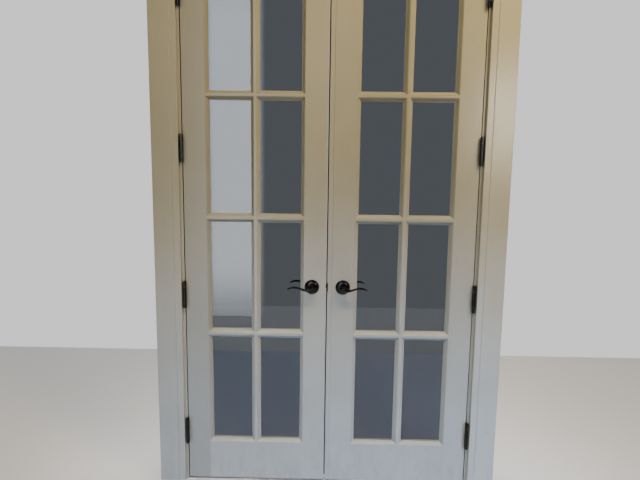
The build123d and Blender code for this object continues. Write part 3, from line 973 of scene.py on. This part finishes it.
@dataclass
class Woodwork:
    """The painted boards of the frame and both leaves.

    Attributes:
        upright: Names of the leaf boards whose grain stands upright.
        level: Names of the leaf boards whose grain lies level.
        dust_and_gap_shade: The faces in the gaps round the leaves, which get painted shade while a
            leaf is shut.
        light_and_shade_shares: Boards painted lighter or darker than the rest, as painted light and
            shade for how light falls on them.
        strokes: Boards with a pebbled, glossier coat: its depth, marks to a metre and roughness.
        casing_strokes: How deep the brush marks across the other casings are, in metres.
        frame_shift: Shift of the patterns from one board of the frame to the next.
        leaf_shift: Shift of the patterns for each letter of a leaf board's name.
        strip_shift: Shift of the meeting strip's patterns.
    """

    upright: tuple = ("hinge_stile", "lock_stile", "upright_bar", "glazing_beads")
    level: tuple = ("top_rail", "bottom_rail", "cross_bars")
    # Painted shade: the faces that turn near black in the gaps round a shut leaf.
    dust_and_gap_shade: dict = field(default_factory=lambda: {
        "left_jamb": Side.TO_RIGHT, "right_jamb": Side.TO_LEFT, "head_jamb": Side.DOWN,
        "left_stop": Side.TO_FRONT, "right_stop": Side.TO_FRONT, "head_stop": Side.TO_FRONT,
        "left_lock_stile": Side.TO_RIGHT, "meeting_strip": Side.TO_LEFT,
        "left_hinge_stile": Side.TO_LEFT, "right_hinge_stile": Side.TO_RIGHT,
    })
    # Painted light and shade: boards made lighter or darker than the rest for how light falls on
    # them.
    light_and_shade_shares: dict = field(default_factory=lambda: {
        "left_hinge_stile": 0.83, "front_right_casing": 1.16, "left_lock_stile": 1.02,
    })
    strokes: dict = field(default_factory=lambda: {
        "front_right_casing": (0.0012, (95.0, 115.0), 0.15),
    })
    casing_strokes: float = 0.0003
    frame_shift: float = 3.1
    leaf_shift: float = 1.7
    strip_shift: float = 41.0

    def paint(self, node: str, way: Way, seed: float, bare: Optional[Side] = None) -> BrushedPaint:
        """The paint of one board.

        Args:
            node: Its name.
            way: The way the brush went.
            seed: Shift of the patterns.
            bare: The side that was never painted.

        Returns:
            The finish.
        """
        across = self.casing_strokes if "casing" in node else 0.0
        plain = (across, BrushedPaint.marks, BrushedPaint.gloss)
        cross, marks, gloss = self.strokes.get(node, plain)
        return BrushedPaint(
            f"paint_{node}", way, cross=cross, marks=marks, gloss=gloss, bare=bare,
            shaded=self.dust_and_gap_shade.get(node), seed=seed, share=self.light_and_shade_shares.get(node, 1.0),
        )

    def frame_boards(self) -> dict[str, BrushedPaint]:
        """The finish of each board of the frame.

        Returns:
            A finish for each node's name.
        """
        upright = {
            "left_jamb": Side.TO_LEFT, "right_jamb": Side.TO_RIGHT,
            "left_stop": None, "right_stop": None,
            "front_left_casing": Side.TO_BACK, "front_right_casing": Side.TO_BACK,
            "back_left_casing": Side.TO_FRONT, "back_right_casing": Side.TO_FRONT,
        }
        level = {
            "head_jamb": Side.UP, "head_stop": None,
            "front_head_casing": Side.TO_BACK, "back_head_casing": Side.TO_FRONT,
        }
        finishes = {}
        for way, boards in ((Way.UPRIGHT, upright), (Way.LEVEL, level)):
            for seed, (node, bare) in enumerate(boards.items()):
                shift = self.frame_shift * seed + len(finishes)
                finishes[node] = self.paint(node, way, shift, bare)
        return finishes

    def leaf_boards(self, leaf: str) -> dict[str, BrushedPaint]:
        """The finish of each board of one leaf.

        Args:
            leaf: Name of the leaf.

        Returns:
            A finish for each node's name.
        """
        finishes = {}
        for way, boards in ((Way.UPRIGHT, self.upright), (Way.LEVEL, self.level)):
            for board in boards:
                node = f"{leaf}_{board}"
                shift = self.leaf_shift * len(node) + len(finishes)
                finishes[node] = self.paint(node, way, shift)
        return finishes

    def build(self, nodes: dict[str, bpy.types.Object]) -> None:
        """Paint every board.

        Args:
            nodes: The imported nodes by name.
        """
        finishes = {**self.frame_boards(), **self.leaf_boards("left"), **self.leaf_boards("right")}
        finishes["meeting_strip"] = self.paint("meeting_strip", Way.UPRIGHT, self.strip_shift)
        for node, finish in finishes.items():
            dress(nodes[node], finish.material())
            log.info("painted %s", node)


@dataclass
class Metalwork:
    """The hinges, latch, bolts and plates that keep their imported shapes.

    Attributes:
        black: Finish of the hinges.
        bronze: Finish of the levers, the roses, the strike and the latch.
        greased: Finish of the bearing rings between the knuckles.
        steel: Finish of the spindle and of the bolts through the roses.
        brass: Finish of the flush bolts and their socket plate.
        strike_face: Place of the strike's face across the doorway, in millimetres.
        latch_face: Place of the latch's face plate.
        middle: Depth of the middle of a leaf.
        plate_heights: Heights of the two screws of both plates.
        socket_places: Places of the two screws of the socket plate.
        head_height: Height of the head's underside.
        small_head: Radius of the screws in these plates.
        small_proud: How far they stand over their plates.
    """

    black: DarkMetal = DarkMetal(
        "hinge_black", (0.027, 0.027, 0.027), (0.085, 0.081, 0.077), share=0.30, gloss=0.23
    )
    bronze: DarkMetal = DarkMetal(
        "dark_bronze", (0.026, 0.024, 0.025), (0.080, 0.064, 0.060), share=0.35, gloss=0.23
    )
    greased: DarkMetal = DarkMetal(
        "greased_rings", (0.010, 0.009, 0.008), (0.020, 0.017, 0.014), 0.30, 0.55, metallic=0.3
    )
    steel: BrightMetal = BrightMetal("latch_steel", (0.60, 0.59, 0.57))
    brass: BrightMetal = BrightMetal("bolt_brass", (0.52, 0.38, 0.18), (900.0, 900.0, 20.0), 0.34)
    strike_face: float = -6.5
    latch_face: float = -12.0
    middle: float = 22.25
    plate_heights: tuple = (878.0, 922.0)
    socket_places: tuple = (-20.25, 25.75)
    head_height: float = 2299.0
    small_head: float = 3.6
    small_proud: float = 0.2

    def build(self, nodes: dict[str, bpy.types.Object]) -> Material:
        """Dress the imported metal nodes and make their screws.

        Args:
            nodes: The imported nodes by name.

        Returns:
            The levers' material.
        """
        black = self.black.material()
        bronze = self.bronze.material()
        greased = self.greased.material()
        steel = self.steel.material()
        brass = self.brass.material()
        for side in ("left", "right"):
            for part in ("frame_hinge_plates", "leaf_hinge_plates", "hinge_pins"):
                dress(nodes[f"{side}_{part}"], black)
            dress(nodes[f"{side}_hinge_bearings"], greased)
            for part in ("front_rose", "back_rose", "front_lever", "back_lever"):
                dress(nodes[f"{side}_{part}"], bronze)
        for node in ("strike_plate", "latch_case", "latch_bolt"):
            dress(nodes[node], bronze)
        for node in ("lever_spindle", "left_rose_bolts"):
            dress(nodes[node], steel)
        for node in ("top_flush_bolt", "bottom_flush_bolt", "head_bolt_socket"):
            dress(nodes[node], brass)
        HingeScrews().build(black)
        strike = [(self.strike_face, self.middle, height) for height in self.plate_heights]
        face = [(self.latch_face, self.middle, height) for height in self.plate_heights]
        socket = [(across, self.middle, self.head_height) for across in self.socket_places]
        plates = (
            ("strike_screws", "right_leaf", Side.TO_LEFT, strike, "dark_bronze", bronze),
            ("face_plate_screws", "left_leaf", Side.TO_RIGHT, face, "dark_bronze", bronze),
            ("socket_screws", "frame", Side.DOWN, socket, "bolt_brass", brass),
        )
        for name, body, side, spots, slot, metal in plates:
            ScrewRow(name, body, side, spots, slot, self.small_head, self.small_proud).build(metal)
        return bronze


class Duty(Enum):
    """What a lamp does: light up surfaces, or show as a gloss on them."""

    LIGHT = (True, False)
    GLOSS = (False, True)


@dataclass(frozen=True)
class Lamp:
    """One flat soft light.

    Attributes:
        name: Its name.
        spot: Where it stands, in metres.
        aim: What it points at, in metres.
        size: Its width and height, in metres.
        watts: Its power.
        tone: Its colour.
        duty: Whether it lights surfaces or shows in their gloss.
        spread: How wide its beam is, in degrees.
        fading: Share of its width and height over which each edge fades.
    """

    name: str
    spot: tuple
    aim: tuple
    size: tuple
    watts: float
    tone: Colour
    duty: Duty = Duty.LIGHT
    spread: float = 120.0
    fading: float = 0.0

    def hang(self) -> None:
        """Add the light, out of sight of the camera and of anything seen through the glass."""
        data = bpy.data.lights.new(self.name, "AREA")
        data.shape = "RECTANGLE"
        data.size, data.size_y = self.size
        data.energy = self.watts
        data.color = self.tone
        data.spread = math.radians(self.spread)
        if self.fading:
            self._fade(data)
        obj = link(self.name, data)
        sight = Vector(self.aim) - Vector(self.spot)
        obj.location = self.spot
        obj.rotation_euler = sight.to_track_quat("-Z", "Y").to_euler()
        obj.visible_camera = False
        obj.visible_transmission = False
        obj.visible_diffuse, obj.visible_glossy = self.duty.value

    def _fade(self, data: bpy.types.AreaLight) -> None:
        """Let the light fall off from its middle to its edges.

        Args:
            data: The light.
        """
        data.use_nodes = True
        sheet = NodeSheet(data.node_tree)
        share = sheet.add("ShaderNodeNewGeometry").outputs["Parametric"]
        parts = sheet.add("ShaderNodeSeparateXYZ", Vector=share).outputs
        middle = 0.5
        reaches = [sheet.math("PINGPONG", parts[axis], middle) for axis in ("X", "Y")]
        humps = [sheet.spread(reach, 0.0, self.fading, eased=True) for reach in reaches]
        strength = sheet.math("MULTIPLY", *humps)
        sheet.fill(sheet.tree.nodes["Emission"], Strength=strength)


WARM = (1.0, 0.78, 0.42)
COOL = (0.16, 0.38, 1.0)


@dataclass
class Stage:
    """The floor, the lights, the pale surroundings and the camera.

    Attributes:
        floor_tone: Colour of the floor.
        floor_shade_through_glass: Its darker colour where it shows through the glass: painted shade
            for the floor behind the doors.
        ambient: Light that comes evenly from all round.
        dusk: The darker tone that shows through the glass.
        backdrop: The pale tone that stands behind the set.
        floor_size: Width and depth of the floor, in metres.
        floor_middle: Centre of the floor.
        lamps: The soft lights.
        camera_spot: Where the camera stands, in millimetres.
        nod: Its turn downwards, in radians.
        swing: Its turn sideways.
        roll: Its turn about its own line of sight.
        focal: Its focal length, in pixels of the photograph.
        picture: Width of the photograph, in pixels.
        sensor: Width of the camera's sensor, in millimetres.
    """

    floor_tone: Colour = (0.62, 0.615, 0.61)
    floor_shade_through_glass: Colour = (0.066, 0.080, 0.118)
    ambient: Colour = (0.108, 0.105, 0.092)
    dusk: Colour = (0.105, 0.110, 0.120)
    backdrop: Colour = (0.95, 0.95, 0.97)
    floor_size: tuple = (9.0, 4.6)
    floor_middle: tuple = (0.0, -0.7, 0.0)
    lamps: tuple = (
        Lamp("warm_top", (1.6, -1.5, 3.3), (0.5, 0.0, 2.2), (1.2, 1.2), 44.0, WARM),
        Lamp("warm_side", (-1.9, -1.9, 3.1), (0.3, 0.0, 2.2), (1.2, 1.2), 10.0, WARM),
        Lamp("cool_left", (-2.3, -2.7, 0.45), (0.0, 0.0, 0.05), (0.9, 0.5), 6.0, COOL,
             spread=44.0),
        Lamp("cool_right", (2.3, -2.7, 0.45), (0.3, 0.0, 0.05), (0.9, 0.5), 9.5, COOL,
             spread=44.0),
        Lamp("high_front", (0.1, -1.3, 2.75), (0.1, 0.0, 0.05), (2.2, 0.4), 5.2,
             (1.0, 0.95, 0.88), spread=34.0),
        Lamp("overhead", (0.0, 1.9, 4.2), (0.0, 0.6, 0.0), (8.0, 2.2), 190.0,
             (1.0, 0.98, 0.96), spread=160.0),
        Lamp("fore_floor", (0.0, -2.9, 3.0), (0.0, -2.8, 0.0), (6.0, 1.0), 34.0,
             (0.94, 0.97, 1.0), spread=60.0),
        Lamp("back", (-2.4, 2.6, 1.7), (0.0, 0.0, 1.4), (1.2, 1.2), 20.0,
             (1.0, 0.96, 0.90), spread=70.0),
        Lamp("strip", (-0.92, -2.6, 1.7), (-0.92, 0.0, 1.7), (0.62, 4.0), 85.0,
             (0.86, 0.93, 1.0), Duty.GLOSS, spread=180.0, fading=0.22),
        Lamp("middle", (0.0, -3.2, 2.5), (0.0, 0.0, 2.5), (0.56, 2.2), 24.0,
             (1.0, 0.98, 0.94), Duty.GLOSS, spread=180.0, fading=0.3),
        Lamp("glint", (1.22, -1.5, 1.80), (0.70, 0.0, 1.64), (0.34, 1.0), 40.0,
             (1.0, 0.98, 0.92), Duty.GLOSS, spread=180.0, fading=0.42),
        Lamp("back_gloss", (1.2, 3.0, 1.6), (0.2, 0.0, 1.4), (0.9, 2.4), 22.0,
             (1.0, 0.98, 0.95), Duty.GLOSS, spread=180.0, fading=0.3),
    )
    camera_spot: tuple = (-5.75, -2026.0, 1361.0)
    nod: float = 0.1261
    swing: float = 0.0169
    roll: float = 0.0130
    focal: float = 480.0
    picture: float = 640.0
    sensor: float = 36.0

    def lay_floor(self) -> None:
        """Lay the pale floor, which isn't part of the object."""
        name = "studio_floor"
        width, depth = self.floor_size
        stretch = Matrix.Diagonal((width / 2, depth / 2, 1.0, 1.0))
        placing = Matrix.Translation(self.floor_middle) @ stretch
        mesh = bmesh.new()
        bmesh.ops.create_grid(mesh, x_segments=1, y_segments=1, size=1.0, matrix=placing)
        data = bpy.data.meshes.new(name)
        mesh.to_mesh(data)
        mesh.free()
        obj = link(name, data)
        dress(obj, StageFinish("floor_paper", self.floor_tone, self.floor_shade_through_glass).material())

    def set_lights(self) -> None:
        """Hang the lamps and set the even light round the set."""
        for lamp in self.lamps:
            lamp.hang()
        world = bpy.data.worlds.new("studio")
        world.use_nodes = True
        sheet = NodeSheet(world.node_tree)
        ray = sheet.add("ShaderNodeLightPath").outputs
        tone = sheet.blend(ray["Is Transmission Ray"], self.ambient, self.dusk)
        tone = sheet.blend(ray["Is Camera Ray"], tone, self.backdrop)
        sheet.fill(sheet.tree.nodes["Background"], Color=tone)
        bpy.context.scene.world = world

    def set_camera(self) -> None:
        """Put the camera where the photograph was taken from."""
        turn_x = Matrix.Rotation(self.nod, 3, "X")
        turn_y = Matrix.Rotation(self.swing, 3, "Y")
        turn_z = Matrix.Rotation(self.roll, 3, "Z")
        view = turn_z @ turn_x @ turn_y
        right, down, ahead = (Vector((row[0], row[2], -row[1])) for row in view)
        basis = Matrix((right, -down, -ahead)).transposed().to_4x4()
        data = bpy.data.cameras.new("photo_camera")
        data.sensor_width = self.sensor
        data.lens = self.focal / self.picture * self.sensor
        obj = link("photo_camera", data)
        obj.matrix_world = Matrix.Translation(place(*self.camera_spot)) @ basis
        bpy.context.scene.camera = obj

    def build(self) -> None:
        """Set the whole stage."""
        self.lay_floor()
        self.set_lights()
        self.set_camera()


def main() -> None:
    """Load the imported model, dress it and set the stage."""
    logging.basicConfig(level=logging.INFO, format="%(message)s")
    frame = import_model()
    nodes = frame["nodes"]
    Woodwork().build(nodes)
    bronze = Metalwork().build(nodes)
    LeverSet("left", "left_lever", (-72.3, 900.0), -1.0).build(bronze)
    LeverSet("right", "right_leaf", (60.5, 900.0), 1.0).build(bronze)
    glass = ClearGlass().material()
    for leaf in ("left", "right"):
        dress(nodes[f"{leaf}_panes"], glass)
    dress(nodes["meeting_seal"], SealRubber().material())
    Stage().build()


if __name__ == "__main__":
    main()
